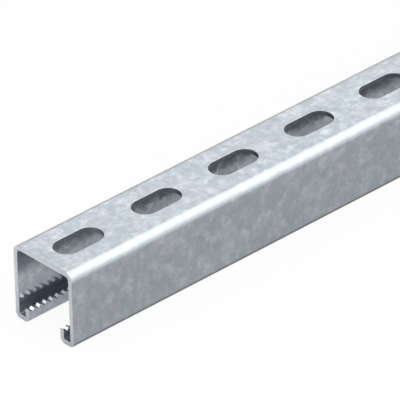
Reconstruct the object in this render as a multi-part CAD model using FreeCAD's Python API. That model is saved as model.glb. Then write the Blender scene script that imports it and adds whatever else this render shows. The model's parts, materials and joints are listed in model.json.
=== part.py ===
"""Slotted strut channel: one length of galvanised sheet, rolled to an open C with toothed lips.

The channel lies with its slotted web on top and its open side down. +X runs along the length,
+Z is up and the origin is the middle of the footprint, under the web. The channel is symmetric
about the XZ plane. Sizes are in millimetres.
"""
import FreeCAD
import Part

import math
import os

# Stock
LENGTH = 1000.0
SECTION_WIDTH = 41.0
SECTION_HEIGHT = 41.0
SHEET_THICKNESS = 2.5

# Rolled bends, as inside radii
WEB_BEND_RADIUS = 2.0
LIP_BEND_RADIUS = 0.5

# Open side: the throat between the lips, and how far the lips turn back up into the channel
THROAT_WIDTH = 22.0
RETURN_HEIGHT = 7.5

# Slots along the middle of the web
SLOT_LENGTH = 28.0
SLOT_WIDTH = 14.0
SLOT_PITCH = 50.0
FIRST_SLOT_FROM_END = 23.0
LEAST_END_METAL = 4.0

# Teeth pressed into the free edge of each lip. The near cut leaves FIRST_LAND of a land.
TOOTH_PITCH = 4.0
TOOTH_LAND = 1.0
TOOTH_VALLEY = 1.0
TOOTH_DEPTH = 1.2
FIRST_LAND = 0.3

# How far a cutting tool reaches past the metal that it cuts
CUT_CLEARANCE = 1.0

START_X = -LENGTH / 2


def point(y, z):
    """Point of the section, in the plane of the cut end at START_X."""
    return FreeCAD.Vector(START_X, y, z)


def bend(centre_y, centre_z, radius, start_degrees, end_degrees):
    """Arc of one bend, with its angles measured from +Y towards +Z."""
    def on_arc(degrees):
        angle = math.radians(degrees)
        return point(centre_y + radius * math.cos(angle), centre_z + radius * math.sin(angle))

    middle = (start_degrees + end_degrees) / 2
    return Part.Arc(on_arc(start_degrees), on_arc(middle), on_arc(end_degrees)).toShape()


def half_skin_bends(offset, web_radius, lip_radius):
    """The three bends of one side of a skin, which lies offset inside the sheet's outer face.

    The bends run from the web down to the lip's return, on the +Y side.
    """
    wall_y = SECTION_WIDTH / 2 - offset
    web_z = SECTION_HEIGHT - offset
    return_y = THROAT_WIDTH / 2 + offset
    web_bend = bend(wall_y - web_radius, web_z - web_radius, web_radius, 90, 0)
    lip_bend = bend(wall_y - lip_radius, offset + lip_radius, lip_radius, 0, -90)
    return_bend = bend(return_y + lip_radius, offset + lip_radius, lip_radius, -90, -180)
    return [web_bend, lip_bend, return_bend]


def section_face():
    """Closed C section: outer skin, the two free edges of the lips, and inner skin."""
    outer = half_skin_bends(0, WEB_BEND_RADIUS + SHEET_THICKNESS, LIP_BEND_RADIUS + SHEET_THICKNESS)
    inner = half_skin_bends(SHEET_THICKNESS, WEB_BEND_RADIUS, LIP_BEND_RADIUS)

    def ends(edge):
        return edge.Vertexes[0].Point, edge.Vertexes[-1].Point

    def joined(bends):
        """The bends with the straight runs between them."""
        edges = []
        for before, after in zip(bends, bends[1:]):
            edges.append(before)
            edges.append(Part.makeLine(ends(before)[1], ends(after)[0]))
        edges.append(bends[-1])
        return edges

    lip_outer = ends(outer[-1])[1]
    lip_inner = ends(inner[-1])[1]
    edge_outer = point(lip_outer.y, RETURN_HEIGHT)
    edge_inner = point(lip_inner.y, RETURN_HEIGHT)
    half = joined(outer) + joined(inner)
    half.append(Part.makeLine(lip_outer, edge_outer))
    half.append(Part.makeLine(edge_outer, edge_inner))
    half.append(Part.makeLine(edge_inner, lip_inner))

    across = FreeCAD.Vector(0, 1, 0)
    other_half = [edge.mirror(FreeCAD.Vector(), across) for edge in half]
    web_lines = []
    for skin in (outer, inner):
        web_end = ends(skin[0])[0]
        web_lines.append(Part.makeLine(web_end, point(-web_end.y, web_end.z)))
    edges = Part.__sortEdges__(half + other_half + web_lines)
    return Part.Face(Part.Wire(edges))


def slot_cutter(centre_x):
    """Upright prism of one round-ended slot, reaching past both faces of the web."""
    radius = SLOT_WIDTH / 2
    straight = SLOT_LENGTH / 2 - radius
    bottom_z = SECTION_HEIGHT - SHEET_THICKNESS - CUT_CLEARANCE

    def corner(along, across):
        return FreeCAD.Vector(centre_x + along, across, bottom_z)

    near_side = Part.makeLine(corner(-straight, -radius), corner(straight, -radius))
    far_end = Part.Arc(corner(straight, -radius), corner(straight + radius, 0), corner(straight, radius))
    far_side = Part.makeLine(corner(straight, radius), corner(-straight, radius))
    near_end = Part.Arc(corner(-straight, radius), corner(-straight - radius, 0), corner(-straight, -radius))
    outline = Part.Wire([near_side, far_end.toShape(), far_side, near_end.toShape()])
    depth = SHEET_THICKNESS + 2 * CUT_CLEARANCE
    return Part.Face(outline).extrude(FreeCAD.Vector(0, 0, depth))


def slot_centres():
    """Places along X of the slots that leave metal before the far cut end."""
    centres = []
    centre_x = START_X + FIRST_SLOT_FROM_END
    while centre_x + SLOT_LENGTH / 2 + LEAST_END_METAL <= START_X + LENGTH:
        centres.append(centre_x)
        centre_x += SLOT_PITCH
    return centres


def notch_comb(return_side):
    """Comb that presses the valleys into one lip's free edge, on the side +1 or -1 of the throat.

    Its outline runs along the lip: from each tooth's land down a flank, along the valley and up
    the next flank. It closes above the lip, past both cut ends.
    """
    flank = (TOOTH_PITCH - TOOTH_LAND - TOOTH_VALLEY) / 2
    valley_z = RETURN_HEIGHT - TOOTH_DEPTH
    inner_y = return_side * (THROAT_WIDTH / 2 - CUT_CLEARANCE)
    thickness = return_side * (SHEET_THICKNESS + 2 * CUT_CLEARANCE)

    def corner(along, z):
        return FreeCAD.Vector(START_X + along, inner_y, z)

    outline = [corner(-CUT_CLEARANCE, RETURN_HEIGHT)]
    for tooth in range(math.ceil(LENGTH / TOOTH_PITCH)):
        land_end = FIRST_LAND + tooth * TOOTH_PITCH
        outline.append(corner(land_end, RETURN_HEIGHT))
        outline.append(corner(land_end + flank, valley_z))
        outline.append(corner(land_end + flank + TOOTH_VALLEY, valley_z))
        outline.append(corner(land_end + 2 * flank + TOOTH_VALLEY, RETURN_HEIGHT))
    far_end = outline[-1].x - START_X + CUT_CLEARANCE
    outline.append(corner(far_end, RETURN_HEIGHT))
    outline.append(corner(far_end, RETURN_HEIGHT + CUT_CLEARANCE))
    outline.append(corner(-CUT_CLEARANCE, RETURN_HEIGHT + CUT_CLEARANCE))
    comb = Part.Face(Part.makePolygon(outline + outline[:1]))
    return comb.extrude(FreeCAD.Vector(0, thickness, 0))


def strut_channel():
    """The rolled section at full length, with its slots punched and its lips toothed."""
    channel = section_face().extrude(FreeCAD.Vector(LENGTH, 0, 0))
    channel = channel.cut(Part.makeCompound([slot_cutter(centre_x) for centre_x in slot_centres()]))
    for side in (1, -1):
        channel = channel.cut(notch_comb(side))
    return channel.Solids[0]


os.makedirs("parts", exist_ok=True)
part = strut_channel()
print("strut_channel", part.isValid(), "faces", len(part.Faces), "volume", round(part.Volume, 1), part.BoundBox)
part.exportStep("parts/strut_channel.step")
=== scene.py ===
"""Looks of one length of slotted strut channel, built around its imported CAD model.

The channel is one sheet of steel, hot-dip galvanised. It is rolled to a C section, with slots
punched along its web and teeth pressed into the edges of its two lips. The model is made of the
section, swept along the length, less a row of slots and two rows of notches. Sizes are in metres.
"""

import json
import logging
import math
from dataclasses import dataclass, field
from enum import Enum
from typing import Any

import bpy
from mathutils import Matrix, Quaternion, Vector

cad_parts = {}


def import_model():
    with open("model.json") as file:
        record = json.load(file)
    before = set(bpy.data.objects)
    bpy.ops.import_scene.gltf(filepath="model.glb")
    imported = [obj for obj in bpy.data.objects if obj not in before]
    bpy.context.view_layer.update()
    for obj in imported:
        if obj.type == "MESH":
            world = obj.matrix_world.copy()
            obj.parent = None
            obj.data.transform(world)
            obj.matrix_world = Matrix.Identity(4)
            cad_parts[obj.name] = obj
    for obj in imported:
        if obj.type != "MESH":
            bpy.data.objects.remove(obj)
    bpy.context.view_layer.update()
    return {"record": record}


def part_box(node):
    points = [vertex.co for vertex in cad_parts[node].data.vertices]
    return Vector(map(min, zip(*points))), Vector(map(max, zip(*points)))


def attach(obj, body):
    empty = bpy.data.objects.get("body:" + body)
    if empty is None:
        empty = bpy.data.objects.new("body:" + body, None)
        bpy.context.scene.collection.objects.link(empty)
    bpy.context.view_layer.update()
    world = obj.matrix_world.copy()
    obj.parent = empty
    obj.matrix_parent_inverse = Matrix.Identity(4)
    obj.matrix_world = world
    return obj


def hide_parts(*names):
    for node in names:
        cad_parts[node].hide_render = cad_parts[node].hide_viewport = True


MM = 0.001
NODE = "strut_channel"
BODY = "root"
LOG = logging.getLogger("strut_channel")

Socket = bpy.types.NodeSocket
Colour = tuple[float, float, float, float]
Coordinates = tuple[float, float, float]


def linear(hex_colour: str) -> Colour:
    """Turns an sRGB hex colour into the linear values that the shaders take.

    Args:
        hex_colour: Six hex digits after a number sign.

    Returns:
        Linear red, green and blue, and an alpha of 1.
    """
    channels = []
    for start in (1, 3, 5):
        value = int(hex_colour[start:start + 2], 16) / 255
        channels.append(value / 12.92 if value <= 0.04045 else ((value + 0.055) / 1.055) ** 2.4)
    return (*channels, 1.0)


def add_node(
    tree: bpy.types.NodeTree,
    kind: str,
    settings: dict[str, Any] | None = None,
    inputs: dict[str | int, Any] | None = None,
) -> bpy.types.Node:
    """Adds a node, sets its options, and fills or links its inputs.

    Args:
        tree: The shader or geometry tree that gets the node.
        kind: The node's type name.
        settings: Options of the node, by attribute name.
        inputs: What goes into each input, by its name or index: a socket to link, several
            sockets to join, or a plain value.

    Returns:
        The new node.
    """
    node = tree.nodes.new(kind)
    for name, value in (settings or {}).items():
        setattr(node, name, value)
    for key, value in (inputs or {}).items():
        if isinstance(value, Socket):
            tree.links.new(value, node.inputs[key])
        elif isinstance(value, list):
            for source in value:
                tree.links.new(source, node.inputs[key])
        else:
            node.inputs[key].default_value = value
    return node


def blank_material(name: str) -> bpy.types.Material:
    """Makes a material whose node tree is still empty.

    Args:
        name: Name of the material.

    Returns:
        The material.
    """
    material = bpy.data.materials.new(name)
    material.use_nodes = True
    material.node_tree.nodes.clear()
    return material


class Lip(Enum):
    """The two lips along the open side, each with the sign of its Y."""

    LEFT = 1.0
    RIGHT = -1.0


@dataclass(frozen=True)
class GalvanisedSheet:
    """Hot-dip galvanised steel, as rolled: bright zinc under a thin, dull oxide.

    The zinc is smooth enough to mirror the teeth and the lips in the inner walls. It froze as
    flat crystals a few millimetres across, with smaller flakes in them and ragged edges. Each
    lies at a slight angle and has its own grey, and few are light. The oxide clouds over them,
    pale and matt, and scatters light into the dark of the channel. It ran a little down the
    walls as the sheet drained, and drifts between greenish, bluish and violet greys. The rolls
    rubbed the bends, so crystals and oxide fade there and the zinc mirrors more softly.
    """

    name: str = "hot_dip_galvanised_steel"

    # Greys of the crystals
    dark: str = "#ACB3BA"
    light: str = "#F0F7FD"

    # Tints of the oxide where its noise is low, middling and high, and the zinc's share of them
    green_drift: str = "#C8D7D2"
    cool_drift: str = "#C4D2DE"
    violet_drift: str = "#D5CFDB"
    drift_stops: tuple[float, float, float] = (0.36, 0.5, 0.64)
    drift_patch: float = 9.0 * MM
    drift_detail: float = 1.0
    drift_share: float = 0.06

    # Gloss of the zinc and of the oxide, and how much of the surface is oxide
    zinc_roughness: float = 0.16
    bend_roughness: float = 0.3
    oxide_roughness: float = 0.6
    oxide_on_dark: float = 0.15
    oxide_on_light: float = 0.115

    # Crystals and flakes, and the fingers that make their edges ragged
    crystal: float = 5.0 * MM
    flake: float = 1.8 * MM
    flake_share: float = 0.45
    crystal_tilt: float = 0.03
    finger: float = 2.5 * MM
    finger_reach: float = 1.5 * MM
    finger_detail: float = 2.0

    # Clouds of tone. Heights are shrunk by run first, so the clouds are longer down the walls
    cloud: float = 4.5 * MM
    cloud_detail: float = 4.0
    cloud_roughness: float = 0.6
    cloud_range: tuple[float, float] = (0.3, 0.7)
    run: float = 0.75

    # Tone: the crystals' share against the clouds', and the power that makes light ones rare
    crystal_share: float = 0.45
    rarity: float = 2.0

    # Bends: where they start, what they keep of crystals and oxide, and the tone of the rest
    bend_start: float = 0.99
    kept_on_bends: float = 0.35
    tone_of_bends: float = 0.3

    def material(self) -> bpy.types.Material:
        """Builds the shader.

        Returns:
            The finished material.
        """
        material = blank_material(self.name)
        tree = material.node_tree
        place = add_node(tree, "ShaderNodeTexCoord").outputs["Object"]
        facing = add_node(tree, "ShaderNodeNewGeometry").outputs["Normal"]
        drained = add_node(tree, "ShaderNodeVectorMath", {"operation": "MULTIPLY"}, {
            0: place, 1: (1.0, 1.0, self.run)}).outputs[0]
        flat = self.flatness(tree, facing)
        kept = add_node(tree, "ShaderNodeMapRange", inputs={
            "Value": flat, "To Min": self.kept_on_bends}).outputs["Result"]
        crystals = self.crystals(tree, place)
        normal = self.crystal_faces(tree, facing, crystals, flat)
        tone = self.tone(tree, drained, crystals, kept)
        tint = self.tint(tree, drained)

        zinc = add_node(tree, "ShaderNodeMix", {"data_type": "RGBA"}, {
            "Factor": tone, "A": linear(self.dark), "B": linear(self.light)}).outputs["Result"]
        colour = add_node(tree, "ShaderNodeMix", {"data_type": "RGBA"}, {
            "Factor": self.drift_share, "A": zinc, "B": tint}).outputs["Result"]
        roughness = add_node(tree, "ShaderNodeMapRange", inputs={
            "Value": flat, "To Min": self.bend_roughness, "To Max": self.zinc_roughness})
        bright = add_node(tree, "ShaderNodeBsdfPrincipled", inputs={
            "Base Color": colour, "Metallic": 1.0, "Roughness": roughness.outputs["Result"],
            "Normal": normal})
        dull = add_node(tree, "ShaderNodeBsdfPrincipled", inputs={
            "Base Color": tint, "Metallic": 0.0, "Roughness": self.oxide_roughness,
            "Normal": normal})
        oxide = add_node(tree, "ShaderNodeMapRange", inputs={
            "Value": tone, "To Min": self.oxide_on_dark, "To Max": self.oxide_on_light})
        oxide = add_node(tree, "ShaderNodeMath", {"operation": "MULTIPLY"}, {
            0: oxide.outputs["Result"], 1: kept})
        surface = add_node(tree, "ShaderNodeMixShader", inputs={
            0: oxide.outputs[0], 1: bright.outputs["BSDF"], 2: dull.outputs["BSDF"]})
        add_node(tree, "ShaderNodeOutputMaterial", inputs={"Surface": surface.outputs[0]})
        return material

    def flatness(self, tree: bpy.types.NodeTree, facing: Socket) -> Socket:
        """Tells the flat faces from the bends.

        The normal lies along Y or Z on a flat face. On a bend it turns away from both, and from
        where its larger share is under bend_start, the place is all bend.

        Args:
            tree: The tree that gets the nodes.
            facing: The surface's normal.

        Returns:
            The socket with 1 on the web, the walls and the lips, and 0 on the bends.
        """
        shares = add_node(tree, "ShaderNodeVectorMath", {"operation": "ABSOLUTE"}, {0: facing})
        shares = add_node(tree, "ShaderNodeSeparateXYZ", inputs={0: shares.outputs[0]})
        larger = add_node(tree, "ShaderNodeMath", {"operation": "MAXIMUM"}, {
            0: shares.outputs["Y"], 1: shares.outputs["Z"]})
        return add_node(tree, "ShaderNodeMapRange", inputs={
            "Value": larger.outputs[0], "From Min": self.bend_start}).outputs["Result"]

    def crystals(self, tree: bpy.types.NodeTree, place: Socket) -> Socket:
        """Lays out the crystals and the flakes in them.

        Args:
            tree: The tree that gets the nodes.
            place: The place on the object.

        Returns:
            The socket with three random values, which change only from one crystal or flake to
            the next.
        """
        fingers = add_node(tree, "ShaderNodeTexNoise", inputs={
            "Vector": place, "Scale": 1 / self.finger, "Detail": self.finger_detail})
        # The noise runs from 0 to 1, so twice the reach moves an edge by one reach either way
        reach = add_node(tree, "ShaderNodeVectorMath", {"operation": "SCALE"}, {
            0: fingers.outputs["Color"], "Scale": 2 * self.finger_reach})
        ragged = add_node(tree, "ShaderNodeVectorMath", {"operation": "ADD"}, {
            0: place, 1: reach.outputs[0]}).outputs[0]
        crystals = add_node(tree, "ShaderNodeTexVoronoi", inputs={
            "Vector": ragged, "Scale": 1 / self.crystal})
        flakes = add_node(tree, "ShaderNodeTexVoronoi", inputs={
            "Vector": ragged, "Scale": 1 / self.flake})
        return add_node(tree, "ShaderNodeMix", {"data_type": "VECTOR"}, {
            "Factor": self.flake_share, "A": crystals.outputs["Color"],
            "B": flakes.outputs["Color"]}).outputs["Result"]

    def crystal_faces(
        self, tree: bpy.types.NodeTree, facing: Socket, crystals: Socket, flat: Socket,
    ) -> Socket:
        """Tilts each crystal's face a little, but not on the bends.

        Args:
            tree: The tree that gets the nodes.
            facing: The surface's normal.
            crystals: The crystals' random values.
            flat: 1 on flat faces and 0 on bends.

        Returns:
            The socket with the crystals' normals.
        """
        tilt = add_node(tree, "ShaderNodeVectorMath", {"operation": "SUBTRACT"}, {
            0: crystals, 1: (0.5, 0.5, 0.5)})
        lean = add_node(tree, "ShaderNodeMath", {"operation": "MULTIPLY"}, {
            0: flat, 1: self.crystal_tilt})
        tilt = add_node(tree, "ShaderNodeVectorMath", {"operation": "SCALE"}, {
            0: tilt.outputs[0], "Scale": lean.outputs[0]})
        tilted = add_node(tree, "ShaderNodeVectorMath", {"operation": "ADD"}, {
            0: facing, 1: tilt.outputs[0]})
        return add_node(tree, "ShaderNodeVectorMath", {"operation": "NORMALIZE"}, {
            0: tilted.outputs[0]}).outputs[0]

    def tone(
        self, tree: bpy.types.NodeTree, drained: Socket, crystals: Socket, kept: Socket,
    ) -> Socket:
        """Gives each place its tone between the dark grey and the light one.

        Args:
            tree: The tree that gets the nodes.
            drained: The place on the object, with its height shrunk.
            crystals: The crystals' random values.
            kept: How much of the pattern is left.

        Returns:
            The socket with the tone, from 0 to 1.
        """
        clouds = add_node(tree, "ShaderNodeTexNoise", inputs={
            "Vector": drained, "Scale": 1 / self.cloud, "Detail": self.cloud_detail,
            "Roughness": self.cloud_roughness})
        cloud_low, cloud_high = self.cloud_range
        clouds = add_node(tree, "ShaderNodeMapRange", inputs={
            "Value": clouds.outputs["Fac"], "From Min": cloud_low, "From Max": cloud_high})
        crystal_tone = add_node(tree, "ShaderNodeSeparateColor", inputs={0: crystals})
        tone = add_node(tree, "ShaderNodeMix", {"data_type": "FLOAT"}, {
            "Factor": self.crystal_share, "A": clouds.outputs["Result"],
            "B": crystal_tone.outputs["Red"]})
        tone = add_node(tree, "ShaderNodeMath", {"operation": "POWER"}, {
            0: tone.outputs["Result"], 1: self.rarity})
        return add_node(tree, "ShaderNodeMix", {"data_type": "FLOAT"}, {
            "Factor": kept, "A": self.tone_of_bends, "B": tone.outputs[0]}).outputs["Result"]

    def tint(self, tree: bpy.types.NodeTree, drained: Socket) -> Socket:
        """Lets the oxide's tint drift.

        Args:
            tree: The tree that gets the nodes.
            drained: The place on the object, with its height shrunk.

        Returns:
            The socket with the tint.
        """
        drift = add_node(tree, "ShaderNodeTexNoise", inputs={
            "Vector": drained, "Scale": 1 / self.drift_patch, "Detail": self.drift_detail})
        tints = add_node(tree, "ShaderNodeValToRGB", inputs={"Fac": drift.outputs["Fac"]})
        low, middle, high = self.drift_stops
        stops = tints.color_ramp.elements
        stops[0].position = low
        stops[0].color = linear(self.green_drift)
        stops[1].position = high
        stops[1].color = linear(self.violet_drift)
        stops.new(middle).color = linear(self.cool_drift)
        return tints.outputs["Color"]


@dataclass(frozen=True)
class CutMetal:
    """Cut face of the sheet: even and matt.

    A saw leaves fine scratches across the ends, and the zinc in them is grey with oxide, so it
    scatters most of the light and mirrors little. The walls of the slots, which a punch tears,
    are given a darker grey and keep more of the metal's sheen.
    """

    name: str
    dark: str = "#C7CCD1"
    light: str = "#D3D8DD"
    bare_share: float = 0.25
    roughness: float = 0.5
    scratch: float = 0.8 * MM
    scratch_detail: float = 2.0
    scratch_strength: float = 0.15
    scratch_depth: float = 0.05 * MM

    def material(self) -> bpy.types.Material:
        """Builds the shader.

        Returns:
            The finished material.
        """
        material = blank_material(self.name)
        tree = material.node_tree
        place = add_node(tree, "ShaderNodeTexCoord").outputs["Object"]
        grain = add_node(tree, "ShaderNodeTexNoise", inputs={
            "Vector": place, "Scale": 1 / self.scratch,
            "Detail": self.scratch_detail}).outputs["Fac"]
        colour = add_node(tree, "ShaderNodeMix", {"data_type": "RGBA"}, {
            "Factor": grain, "A": linear(self.dark), "B": linear(self.light)}).outputs["Result"]
        bump = add_node(tree, "ShaderNodeBump", inputs={
            "Height": grain, "Strength": self.scratch_strength, "Distance": self.scratch_depth})
        shader = add_node(tree, "ShaderNodeBsdfPrincipled", inputs={
            "Base Color": colour, "Metallic": self.bare_share, "Roughness": self.roughness,
            "Normal": bump.outputs["Normal"]})
        add_node(tree, "ShaderNodeOutputMaterial", inputs={"Surface": shader.outputs["BSDF"]})
        return material


@dataclass
class GeometryTree:
    """A Geometry Nodes tree with named inputs, and what the modifier sets them to."""

    name: str
    values: dict[str, Any] = field(default_factory=dict)

    def __post_init__(self) -> None:
        """Makes the empty tree with its geometry input and output."""
        self.tree = bpy.data.node_groups.new(self.name, "GeometryNodeTree")
        self.tree.is_modifier = True
        for way in ("INPUT", "OUTPUT"):
            self.tree.interface.new_socket(
                "Geometry", in_out=way, socket_type="NodeSocketGeometry")
        self.source = self.tree.nodes.new("NodeGroupInput")

    def input(self, name: str, value: Any) -> Socket:
        """Adds a named input.

        Args:
            name: What the input sizes, places or sets.
            value: Its value: a length, a whole number, three coordinates or a material.

        Returns:
            The socket that carries it inside the tree.
        """
        kind = "NodeSocketFloat"
        if isinstance(value, int):
            kind = "NodeSocketInt"
        elif isinstance(value, tuple):
            kind = "NodeSocketVector"
        elif isinstance(value, bpy.types.Material):
            kind = "NodeSocketMaterial"
        item = self.tree.interface.new_socket(name, in_out="INPUT", socket_type=kind)
        self.values[item.identifier] = value
        return self.source.outputs[name]

    def node(
        self, kind: str, settings: dict | None = None, inputs: dict | None = None,
    ) -> bpy.types.Node:
        """Adds a node to this tree, as add_node does."""
        return add_node(self.tree, kind, settings, inputs)

    def finish(self, geometry: Socket, thing: bpy.types.Object) -> None:
        """Ends the tree and puts it on an object.

        Args:
            geometry: The socket with the finished geometry.
            thing: The object that gets the tree as a modifier.
        """
        self.node("NodeGroupOutput", inputs={0: geometry})
        modifier = thing.modifiers.new(self.name, "NODES")
        modifier.node_group = self.tree
        for identifier, value in self.values.items():
            modifier[identifier] = value


@dataclass
class StrutChannel:
    """The rolled sheet with its slots and toothed lips.

    The outer sizes come from the CAD box and the slots' sizes from the record's mounts.
    """

    low: Vector
    high: Vector
    first_slot: float
    slot_pitch: float
    slot_length: float
    slot_width: float
    least_end_metal: float = 4.0 * MM

    # Section: the sheet, the inside radii of its bends, the throat and the lips' returns
    sheet: float = 2.5 * MM
    web_bend: float = 2.0 * MM
    lip_bend: float = 0.5 * MM
    throat: float = 22.0 * MM
    return_height: float = 7.5 * MM

    # Teeth, of which the near cut leaves a part of the first land
    tooth_pitch: float = 4.0 * MM
    tooth_land: float = 1.0 * MM
    tooth_valley: float = 1.0 * MM
    tooth_depth: float = 1.2 * MM
    first_land: float = 0.3 * MM

    # Rounding of the sharp edges, which is less at the teeth
    edge_round: float = 0.2 * MM
    tooth_round: float = 0.08 * MM
    tooth_reach: float = 0.6
    sharp: float = math.radians(30)

    # Making of the mesh: cutters, merging, the test for a cut end, and the curves' steps
    cut_clearance: float = 0.3 * MM
    merge_distance: float = 0.01 * MM
    end_facing: float = 0.999
    steps_per_bend: int = 14
    steps_per_slot_corner: int = 12
    steps_per_edge: int = 2
    flat_face_weight: int = 100

    @property
    def length(self) -> float:
        """Length of the stock."""
        return self.high.x - self.low.x

    @property
    def lip_top(self) -> float:
        """Height of the lips' free edges, which the lands keep."""
        return self.low.z + self.return_height

    @property
    def cutter_depth(self) -> float:
        """How deep a cutter is: as the sheet is thick, and the clearance on both sides."""
        return self.sheet + 2 * self.cut_clearance

    @property
    def slot_count(self) -> int:
        """Slots that leave metal before the far cut end."""
        last = self.high.x - self.least_end_metal - self.slot_length / 2
        return int((last - self.first_slot) / self.slot_pitch) + 1

    @property
    def tooth_count(self) -> int:
        """Teeth along one lip."""
        return round(self.length / self.tooth_pitch)

    def bend(
        self, centre: tuple[float, float], radius: float, start: float,
    ) -> list[tuple[float, float]]:
        """Points of one quarter bend of the section.

        Args:
            centre: Middle of the bend, as Y and Z.
            radius: Its radius.
            start: Angle of its first point, from +Y towards +Z. The bend turns back by a right
                angle from there.

        Returns:
            Points as Y and Z, both ends included.
        """
        centre_y, centre_z = centre
        points = []
        for step in range(self.steps_per_bend + 1):
            angle = start - math.pi / 2 * step / self.steps_per_bend
            y = centre_y + radius * math.cos(angle)
            z = centre_z + radius * math.sin(angle)
            points.append((y, z))
        return points

    def half_skin(self, inset: float) -> list[tuple[float, float]]:
        """One side of a skin of the sheet, from the web down to the lip's free edge, at +Y.

        Args:
            inset: How far the skin lies inside the sheet's outer face.

        Returns:
            Points as Y and Z.
        """
        wall = self.high.y - inset
        web = self.high.z - inset
        floor = self.low.z + inset
        lip = self.throat / 2 + inset
        web_radius = self.web_bend + self.sheet - inset
        lip_radius = self.lip_bend + self.sheet - inset
        points = self.bend((wall - web_radius, web - web_radius), web_radius, math.pi / 2)
        points += self.bend((wall - lip_radius, floor + lip_radius), lip_radius, 0.0)
        points += self.bend((lip + lip_radius, floor + lip_radius), lip_radius, -math.pi / 2)
        return points + [(lip, self.lip_top)]

    def section(self) -> bpy.types.Object:
        """The closed C section as one face at the near cut end, looking along +X.

        Returns:
            The object that the sweeping tree is put on.
        """
        half = self.half_skin(0.0) + self.half_skin(self.sheet)[::-1]
        other_half = [(-y, z) for y, z in half]
        outline = other_half[::-1] + half
        mesh = bpy.data.meshes.new("section")
        mesh.from_pydata([(self.low.x, y, z) for y, z in outline], [], [range(len(outline))])
        if mesh.polygons[0].normal.x < 0:
            mesh.flip_normals()
        section = bpy.data.objects.new("rolled_channel", mesh)
        bpy.context.scene.collection.objects.link(section)
        return section

    def swept(self, tree: GeometryTree, face: Socket, along: Socket) -> Socket:
        """A closed solid from one flat face.

        Args:
            tree: The tree that gets the nodes.
            face: The face, which looks the way that it is swept.
            along: The sweep, as a vector.

        Returns:
            The socket with the solid.
        """
        side = tree.node("GeometryNodeExtrudeMesh", inputs={
            "Mesh": face, "Offset": along, "Offset Scale": 1.0, "Individual": False})
        start = tree.node("GeometryNodeFlipFaces", inputs={"Mesh": face})
        both = tree.node("GeometryNodeJoinGeometry", inputs={
            "Geometry": [side.outputs["Mesh"], start.outputs["Mesh"]]})
        return tree.node("GeometryNodeMergeByDistance", inputs={
            "Geometry": both.outputs[0], "Distance": self.merge_distance}).outputs[0]

    def slots(self, tree: GeometryTree, wall: Socket) -> Socket:
        """The row of round-ended cutters for the slots in the web.

        Args:
            tree: The tree that gets the nodes.
            wall: Material of the slots' punched walls.

        Returns:
            The socket with the cutters.
        """
        outline = tree.node("GeometryNodeCurvePrimitiveQuadrilateral", {"mode": "RECTANGLE"}, {
            "Width": tree.input("Slot Length", self.slot_length),
            "Height": tree.input("Slot Width", self.slot_width)})
        outline = tree.node("GeometryNodeFilletCurve", {"mode": "POLY"}, {
            "Curve": outline.outputs["Curve"], "Count": self.steps_per_slot_corner,
            "Radius": tree.input("Slot End Radius", self.slot_width / 2), "Limit Radius": True})
        face = tree.node("GeometryNodeFillCurve", {"mode": "NGONS"}, {"Curve": outline.outputs[0]})
        face = tree.node("GeometryNodeMergeByDistance", inputs={
            "Geometry": face.outputs[0], "Distance": self.merge_distance})
        slot = self.swept(tree, face.outputs[0], tree.input(
            "Slot Cutter Sweep", (0.0, 0.0, self.cutter_depth)))
        bottom = self.high.z - self.sheet - self.cut_clearance
        places = tree.node("GeometryNodeMeshLine", {"mode": "OFFSET"}, {
            "Count": tree.input("Slot Count", self.slot_count),
            "Start Location": tree.input("First Slot", (self.first_slot, 0.0, bottom)),
            "Offset": tree.input("Slot Pitch", (self.slot_pitch, 0.0, 0.0))})
        slots = tree.node("GeometryNodeInstanceOnPoints", inputs={
            "Points": places.outputs["Mesh"], "Instance": slot})
        slots = tree.node("GeometryNodeRealizeInstances", inputs={"Geometry": slots.outputs[0]})
        return tree.node("GeometryNodeSetMaterial", inputs={
            "Geometry": slots.outputs[0], "Material": wall}).outputs[0]

    def notches(self, tree: GeometryTree, sheet: Socket) -> Socket:
        """The two rows of cutters for the valleys between the teeth.

        Args:
            tree: The tree that gets the nodes.
            sheet: Material of the valleys and flanks.

        Returns:
            The socket with the cutters.
        """
        height = self.tooth_depth + self.cut_clearance
        flanks = self.tooth_pitch - self.tooth_land - self.tooth_valley
        mouth = self.tooth_valley + flanks * height / self.tooth_depth
        outline = tree.node("GeometryNodeCurvePrimitiveQuadrilateral", {"mode": "TRAPEZOID"}, {
            "Height": tree.input("Notch Height", height),
            "Bottom Width": tree.input("Tooth Valley", self.tooth_valley),
            "Top Width": tree.input("Notch Mouth", mouth), "Offset": 0.0})
        face = tree.node("GeometryNodeFillCurve", {"mode": "NGONS"}, {"Curve": outline.outputs[0]})
        upright = tree.node("GeometryNodeTransform", inputs={
            "Geometry": face.outputs[0], "Rotation": (math.pi / 2, 0.0, 0.0)})
        notch = self.swept(tree, upright.outputs[0], tree.input(
            "Notch Cutter Sweep", (0.0, -self.cutter_depth, 0.0)))
        count = tree.input("Tooth Count", self.tooth_count)
        pitch = tree.input("Tooth Pitch", (self.tooth_pitch, 0.0, 0.0))
        first_x = self.low.x + self.first_land + (self.tooth_pitch - self.tooth_land) / 2
        middle_z = self.lip_top + (self.cut_clearance - self.tooth_depth) / 2
        rows = []
        for lip in Lip:
            start_y = lip.value * (self.throat + self.sheet) / 2 + self.cutter_depth / 2
            places = tree.node("GeometryNodeMeshLine", {"mode": "OFFSET"}, {
                "Count": count, "Offset": pitch,
                "Start Location": tree.input(
                    f"First Notch of {lip.name.title()} Lip", (first_x, start_y, middle_z))})
            rows.append(tree.node("GeometryNodeInstanceOnPoints", inputs={
                "Points": places.outputs["Mesh"], "Instance": notch}).outputs[0])
        notches = tree.node("GeometryNodeJoinGeometry", inputs={"Geometry": rows})
        notches = tree.node("GeometryNodeRealizeInstances", inputs={"Geometry": notches.outputs[0]})
        return tree.node("GeometryNodeSetMaterial", inputs={
            "Geometry": notches.outputs[0], "Material": sheet}).outputs[0]

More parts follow.
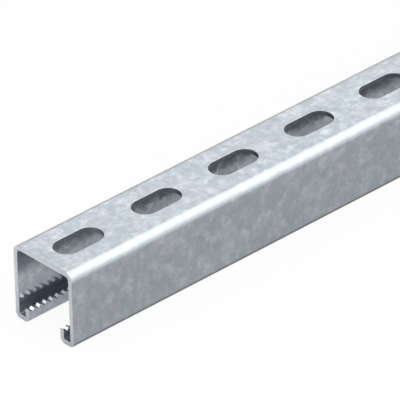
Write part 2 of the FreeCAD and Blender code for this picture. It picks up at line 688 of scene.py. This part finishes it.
    def weighed(self, tree: GeometryTree, body: Socket) -> Socket:
        """Weighs each sharp edge for the rounding: the teeth's edges less than the others.

        An edge is a tooth's if its height differs from that of the middle of the teeth by less
        than tooth_reach times their depth.

        Args:
            tree: The tree that gets the nodes.
            body: The cut solid.

        Returns:
            The socket with the solid and its edges' weights.
        """
        angle = tree.node("GeometryNodeInputMeshEdgeAngle").outputs["Unsigned Angle"]
        is_sharp = tree.node("FunctionNodeCompare", {
            "data_type": "FLOAT", "operation": "GREATER_THAN"}, {
                0: angle, 1: tree.input("Sharp Angle", self.sharp)})
        place = tree.node("GeometryNodeInputPosition").outputs[0]
        height = tree.node("ShaderNodeSeparateXYZ", inputs={0: place}).outputs["Z"]
        on_tooth = tree.node("FunctionNodeCompare", {"data_type": "FLOAT", "operation": "EQUAL"}, {
            0: height, 1: tree.input("Middle of Teeth", self.lip_top - self.tooth_depth / 2),
            "Epsilon": tree.input("Reach of Teeth", self.tooth_depth * self.tooth_reach)})
        weight = tree.node("GeometryNodeSwitch", {"input_type": "FLOAT"}, {
            "Switch": on_tooth.outputs[0], "False": 1.0,
            "True": tree.input("Tooth Rounding", self.tooth_round / self.edge_round)})
        return tree.node("GeometryNodeStoreNamedAttribute", {
            "data_type": "FLOAT", "domain": "EDGE"}, {
                "Geometry": body, "Selection": is_sharp.outputs[0], "Name": "bevel_weight_edge",
                "Value": weight.outputs[0]}).outputs[0]

    def plain(self, section: bpy.types.Object) -> None:
        """Rounds the sharp edges and turns the modifiers' result into a plain mesh.

        Args:
            section: The object with the sweeping tree, which keeps no modifier.
        """
        rounding = section.modifiers.new("Edge rounding", "BEVEL")
        rounding.width = self.edge_round
        rounding.segments = self.steps_per_edge
        rounding.limit_method = "WEIGHT"
        rounding.use_clamp_overlap = False
        rounding.harden_normals = True
        shading = section.modifiers.new("Flat faces stay flat", "WEIGHTED_NORMAL")
        shading.weight = self.flat_face_weight
        shading.keep_sharp = True
        graph = bpy.context.evaluated_depsgraph_get()
        graph.update()
        mesh = bpy.data.meshes.new_from_object(section.evaluated_get(graph))
        section.modifiers.clear()
        section.data = mesh
        mesh.name = section.name

    def build(
        self, sheet: bpy.types.Material, edge: bpy.types.Material, wall: bpy.types.Material,
    ) -> bpy.types.Object:
        """Sweeps the section, cuts it, rounds its edges and makes it a plain mesh.

        A face belongs to a cut end if its normal is along X by more than end_facing.

        Args:
            sheet: Material of the rolled faces and the teeth.
            edge: Material of the two cut ends.
            wall: Material of the slots' punched walls.

        Returns:
            The finished channel.
        """
        section = self.section()
        tree = GeometryTree("Punched and toothed channel")
        sheet_socket = tree.input("Sheet Material", sheet)
        body = self.swept(tree, tree.source.outputs["Geometry"], tree.input(
            "Channel Sweep", (self.length, 0.0, 0.0)))
        body = tree.node("GeometryNodeSetMaterial", inputs={
            "Geometry": body, "Material": sheet_socket})
        cutters = tree.node("GeometryNodeJoinGeometry", inputs={"Geometry": [
            self.slots(tree, tree.input("Wall Material", wall)), self.notches(tree, sheet_socket)]})
        cut = tree.node("GeometryNodeMeshBoolean", {"operation": "DIFFERENCE", "solver": "EXACT"}, {
            "Mesh 1": body.outputs[0], "Mesh 2": cutters.outputs[0]})
        facing = tree.node("GeometryNodeInputNormal").outputs["Normal"]
        facing_x = tree.node("ShaderNodeSeparateXYZ", inputs={0: facing}).outputs["X"]
        share_of_x = tree.node("ShaderNodeMath", {"operation": "ABSOLUTE"}, {0: facing_x})
        is_end = tree.node("FunctionNodeCompare", {
            "data_type": "FLOAT", "operation": "GREATER_THAN"}, {
                0: share_of_x.outputs[0], 1: self.end_facing})
        whole = self.weighed(tree, cut.outputs["Mesh"])
        whole = tree.node("GeometryNodeRealizeInstances", inputs={"Geometry": whole})
        whole = tree.node("GeometryNodeSetShadeSmooth", inputs={
            "Geometry": whole.outputs[0], "Shade Smooth": True})
        whole = tree.node("GeometryNodeSetMaterial", inputs={
            "Geometry": whole.outputs[0], "Selection": is_end.outputs[0],
            "Material": tree.input("Edge Material", edge)})
        tree.finish(whole.outputs[0], section)
        self.plain(section)
        return section


@dataclass(frozen=True)
class Softbox:
    """A square studio lamp that faces the object and stays out of the picture.

    It hangs in a given direction and distance from the point that it aims at, and is turned
    about the line between them.
    """

    name: str
    towards: Coordinates
    aim: Coordinates
    distance: float
    size: float
    radiance: float
    turn: float = 0.0

    def place(self) -> None:
        """Hangs the lamp."""
        lamp = bpy.data.lights.new(self.name, "AREA")
        lamp.shape = "SQUARE"
        lamp.size = self.size
        lamp.energy = self.radiance * math.pi * self.size ** 2
        holder = bpy.data.objects.new(self.name, lamp)
        direction = Vector(self.towards).normalized()
        holder.location = Vector(self.aim) + direction * self.distance
        facing = direction.to_track_quat("Z", "Y") @ Quaternion((0.0, 0.0, 1.0), self.turn)
        holder.rotation_euler = facing.to_euler()
        holder.visible_camera = False
        bpy.context.scene.collection.objects.link(holder)


@dataclass(frozen=True)
class Studio:
    """Floor, sky, lamps and camera.

    The floor is plain and matt to the light that it scatters. To the camera and the metal it
    mostly glows, and the rest keeps the channel's faint shadow. The camera sees the glow white
    all over. In the metal the glow carries a painted shadow of the channel: white far away,
    dimmer beside the channel, dimmest under the lips and brighter again under the open side.
    A glow that one wall passes on to another is dimmed again, as painted shade.
    """

    # Floor: how much of what is seen of it is glow, and how bright its glow is in the metal, where
    # a painted shadow of the channel dims it
    floor_side: float = 40.0
    floor_colour: str = "#E8E8E8"
    glow_share: float = 0.93
    # Painted shadow of the channel in the mirrored glow: dimmer under it, darkest by the lips
    mirrored_under: float = 0.59
    painted_lip_shadow: float = 0.17
    mirrored_near: float = 0.44
    mirrored_far: float = 1.0
    # Painted shade: what one wall mirrors of another sees the glow dimmer still
    painted_shade_again: float = 0.33

    # Distances from the channel's middle line where the glow's painted shadow changes, and the
    # glow's growth past them
    lip_reach: tuple[float, float] = (13.5 * MM, 20.0 * MM)
    lip_blur: tuple[float, float] = (1.5 * MM, 4.5 * MM)
    near_reach: float = 63.0 * MM
    near_falloff: float = 3.0

    # Sky, which is brighter towards the key side
    sky: str = "#FFFFFF"
    sky_strength: float = 0.3
    key_strength: float = 1.66
    key_falloff: float = 1.2
    key_towards: Coordinates = (0.567, -0.309, 0.763)

    # Directions of the lamps off the cut end, and the two places that they aim at
    left_of_end: Coordinates = (-0.62, 0.632, 0.464)
    right_of_end: Coordinates = (-0.62, -0.632, 0.464)
    first_teeth: Coordinates = (-500.0 * MM, 14.7 * MM, 8.7 * MM)
    mirrored_tooth: Coordinates = (-500.0 * MM, 19.1 * MM, 7.4 * MM)

    # Camera, with its lens and sensor in millimetres
    azimuth: float = math.radians(-42.015)
    elevation: float = math.radians(31.779)
    roll: float = math.radians(-1.644)
    lens: float = 683.35
    sensor: float = 36.0
    aim: Coordinates = (-399.1 * MM, 0.0, 29.3 * MM)
    camera_distance: float = 3627.5 * MM

    def lamps(self) -> tuple[Softbox, ...]:
        """The softboxes off the cut end.

        Returns:
            Two small cards close to the end, which only the flanks of the first teeth mirror,
            one of them by way of the inner wall. The third stands far back, for all the teeth.
        """
        left_card = Softbox(
            "left_card", self.left_of_end, self.first_teeth,
            distance=120.0 * MM, size=50.0 * MM, radiance=3.0)
        right_card = Softbox(
            "right_card", self.right_of_end, self.mirrored_tooth,
            distance=42.0 * MM, size=14.0 * MM, radiance=6.0, turn=math.radians(18.4))
        end_fill = Softbox(
            "end_fill", self.right_of_end, self.first_teeth,
            distance=3.0, size=1.3, radiance=0.5)
        return left_card, right_card, end_fill

    def build_floor(self) -> bpy.types.Object:
        """Lays the pale floor.

        Returns:
            The floor.
        """
        half = self.floor_side / 2
        mesh = bpy.data.meshes.new("floor")
        corners = [(-half, -half, 0.0), (half, -half, 0.0), (half, half, 0.0), (-half, half, 0.0)]
        mesh.from_pydata(corners, [], [(0, 1, 2, 3)])
        mesh.materials.append(self.floor_material())
        floor = bpy.data.objects.new("floor", mesh)
        bpy.context.scene.collection.objects.link(floor)
        return floor

    def floor_material(self) -> bpy.types.Material:
        """White matt studio floor, whose glow carries a painted shadow of the channel in the metal.

        Returns:
            The finished material.
        """
        material = blank_material("white_studio_floor")
        tree = material.node_tree
        ray = add_node(tree, "ShaderNodeLightPath")
        seen = add_node(tree, "ShaderNodeMath", {"operation": "MAXIMUM"}, {
            0: ray.outputs["Is Glossy Ray"], 1: ray.outputs["Is Transmission Ray"]})
        seen = add_node(tree, "ShaderNodeMath", {"operation": "MAXIMUM"}, {
            0: seen.outputs[0], 1: ray.outputs["Is Camera Ray"]})
        share = add_node(tree, "ShaderNodeMath", {"operation": "MULTIPLY"}, {
            0: seen.outputs[0], 1: self.glow_share})
        strength = add_node(tree, "ShaderNodeMix", {"data_type": "FLOAT"}, {
            "Factor": ray.outputs["Is Camera Ray"],
            "A": self.mirrored_glow(tree, ray.outputs["Glossy Depth"]), "B": 1.0})
        lit = add_node(tree, "ShaderNodeBsdfDiffuse", inputs={"Color": linear(self.floor_colour)})
        glow = add_node(tree, "ShaderNodeEmission", inputs={
            "Color": linear(self.sky), "Strength": strength.outputs["Result"]})
        mix = add_node(tree, "ShaderNodeMixShader", inputs={
            0: share.outputs[0], 1: lit.outputs[0], 2: glow.outputs[0]})
        add_node(tree, "ShaderNodeOutputMaterial", inputs={"Surface": mix.outputs[0]})
        return material

    def mirrored_glow(self, tree: bpy.types.NodeTree, glossy_depth: Socket) -> Socket:
        """Works out how bright the metal sees the floor glow, with a painted shadow of the channel
        in it.

        Args:
            tree: The floor's tree.
            glossy_depth: How many mirrors the ray has met.

        Returns:
            The socket with the strength.
        """
        place = add_node(tree, "ShaderNodeTexCoord").outputs["Object"]
        across = add_node(tree, "ShaderNodeSeparateXYZ", inputs={0: place}).outputs["Y"]
        across = add_node(tree, "ShaderNodeMath", {"operation": "ABSOLUTE"}, {0: across})
        place_on_ramp = add_node(tree, "ShaderNodeMath", {"operation": "DIVIDE"}, {
            0: across.outputs[0], 1: self.near_reach})
        beside = add_node(tree, "ShaderNodeValToRGB", inputs={"Fac": place_on_ramp.outputs[0]})
        # The ramp paints the channel's shadow into the glow: dimmer under the open side, darkest by
        # the lips
        lip_start, lip_end = self.lip_reach
        blur_inside, blur_outside = self.lip_blur
        stops = (
            (lip_start - blur_inside, self.mirrored_under), (lip_start, self.painted_lip_shadow),
            (lip_end, self.painted_lip_shadow), (lip_end + blur_outside, self.mirrored_near))
        elements = beside.color_ramp.elements
        elements.remove(elements[-1])
        for distance, strength in stops:
            elements.new(distance / self.near_reach).color = (strength, strength, strength, 1.0)
        elements.remove(elements[0])

        farther = add_node(tree, "ShaderNodeMath", {"operation": "MAXIMUM"}, {
            0: across.outputs[0], 1: self.near_reach})
        nearness = add_node(tree, "ShaderNodeMath", {"operation": "DIVIDE"}, {
            0: self.near_reach, 1: farther.outputs[0]})
        nearness = add_node(tree, "ShaderNodeMath", {"operation": "POWER"}, {
            0: nearness.outputs[0], 1: self.near_falloff})
        mirrored = add_node(tree, "ShaderNodeMix", {"data_type": "FLOAT"}, {
            "Factor": nearness.outputs[0], "A": self.mirrored_far, "B": beside.outputs["Color"]})
        # Painted shade: the glow is dimmed further once a ray has met a second mirror
        again = add_node(tree, "ShaderNodeMapRange", inputs={
            "Value": glossy_depth, "From Min": 1.0, "From Max": 2.0,
            "To Min": 1.0, "To Max": self.painted_shade_again})
        return add_node(tree, "ShaderNodeMath", {"operation": "MULTIPLY"}, {
            0: mirrored.outputs["Result"], 1: again.outputs["Result"]}).outputs[0]

    def build_sky(self) -> None:
        """Makes the white surround, which brightens softly towards the key side."""
        world = bpy.data.worlds.new("white_surround")
        world.use_nodes = True
        tree = world.node_tree
        tree.nodes.clear()
        ray = add_node(tree, "ShaderNodeLightPath")
        direction = add_node(tree, "ShaderNodeTexCoord").outputs["Generated"]
        nearness = add_node(tree, "ShaderNodeVectorMath", {"operation": "DOT_PRODUCT"}, {
            0: direction, 1: self.key_towards}).outputs["Value"]
        facing = add_node(tree, "ShaderNodeMath", {"operation": "MAXIMUM"}, {0: nearness, 1: 0.0})
        fall = add_node(tree, "ShaderNodeMath", {"operation": "POWER"}, {
            0: facing.outputs[0], 1: self.key_falloff})
        light = add_node(tree, "ShaderNodeMath", {"operation": "MULTIPLY_ADD"}, {
            0: fall.outputs[0], 1: self.key_strength, 2: self.sky_strength})
        strength = add_node(tree, "ShaderNodeMix", {"data_type": "FLOAT"}, {
            "Factor": ray.outputs["Is Camera Ray"], "A": light.outputs[0], "B": 1.0})
        sky = add_node(tree, "ShaderNodeBackground", inputs={
            "Color": linear(self.sky), "Strength": strength.outputs["Result"]})
        add_node(tree, "ShaderNodeOutputWorld", inputs={"Surface": sky.outputs[0]})
        bpy.context.scene.world = world

    def build_camera(self) -> None:
        """Stands the camera at the photograph's angle."""
        back = Vector((
            math.sin(self.azimuth) * math.cos(self.elevation),
            -math.cos(self.azimuth) * math.cos(self.elevation),
            math.sin(self.elevation)))
        right = Vector((math.cos(self.azimuth), math.sin(self.azimuth), 0.0))
        up = back.cross(right)
        turned_right = right * math.cos(self.roll) + up * math.sin(self.roll)
        turned_up = up * math.cos(self.roll) - right * math.sin(self.roll)
        data = bpy.data.cameras.new("camera")
        data.sensor_width = self.sensor
        data.lens = self.lens
        camera = bpy.data.objects.new("camera", data)
        rotation = Matrix((turned_right, turned_up, back)).transposed()
        place = Vector(self.aim) + back * self.camera_distance
        camera.matrix_world = Matrix.Translation(place) @ rotation.to_4x4()
        bpy.context.scene.collection.objects.link(camera)
        bpy.context.scene.camera = camera

    def build(self) -> bpy.types.Object:
        """Builds the whole studio.

        Returns:
            The floor.
        """
        self.build_sky()
        self.build_camera()
        for lamp in self.lamps():
            lamp.place()
        bpy.context.scene.view_settings.view_transform = "Standard"
        return self.build_floor()


def slot_sizes(record: dict[str, Any]) -> dict[str, float]:
    """Reads the slots' sizes from the first mount on the web.

    Args:
        record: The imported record.

    Returns:
        Place of the first slot, and the slots' pitch, length and width.
    """
    mount = next(entry for entry in record["mounts"] if entry["kind"] == "bolt_pattern")
    dims = mount["dims"]
    pitch = dims["spacing_x_mm"] * MM
    return {
        "first_slot": mount["pos_m"][0] - pitch / 2,
        "slot_pitch": pitch,
        "slot_length": dims["slot_length_mm"] * MM,
        "slot_width": 2 * dims["hole_r_mm"] * MM,
    }


def main() -> None:
    """Builds the channel and the studio around the frame."""
    logging.basicConfig(level=logging.INFO, format="%(name)s: %(message)s")
    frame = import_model()
    low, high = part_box(NODE)

    channel = StrutChannel(low, high, **slot_sizes(frame["record"]))
    sheet = GalvanisedSheet().material()
    sawn = CutMetal("sawn_end_of_galvanised_steel").material()
    # The slots' walls get a darker grey than the sawn ends
    punched = CutMetal(
        "punched_wall_of_galvanised_steel", dark="#747A80", light="#868C92",
        bare_share=0.5).material()
    piece = channel.build(sheet, sawn, punched)
    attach(piece, BODY)
    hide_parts(NODE)
    LOG.info("%s: %d faces, %d slots, %d teeth on each lip", piece.name, len(piece.data.polygons),
             channel.slot_count, channel.tooth_count)

    studio = Studio()
    studio.build()
    LOG.info("studio: floor, %d lamps and camera", len(studio.lamps()))


if __name__ == "__main__":
    main()
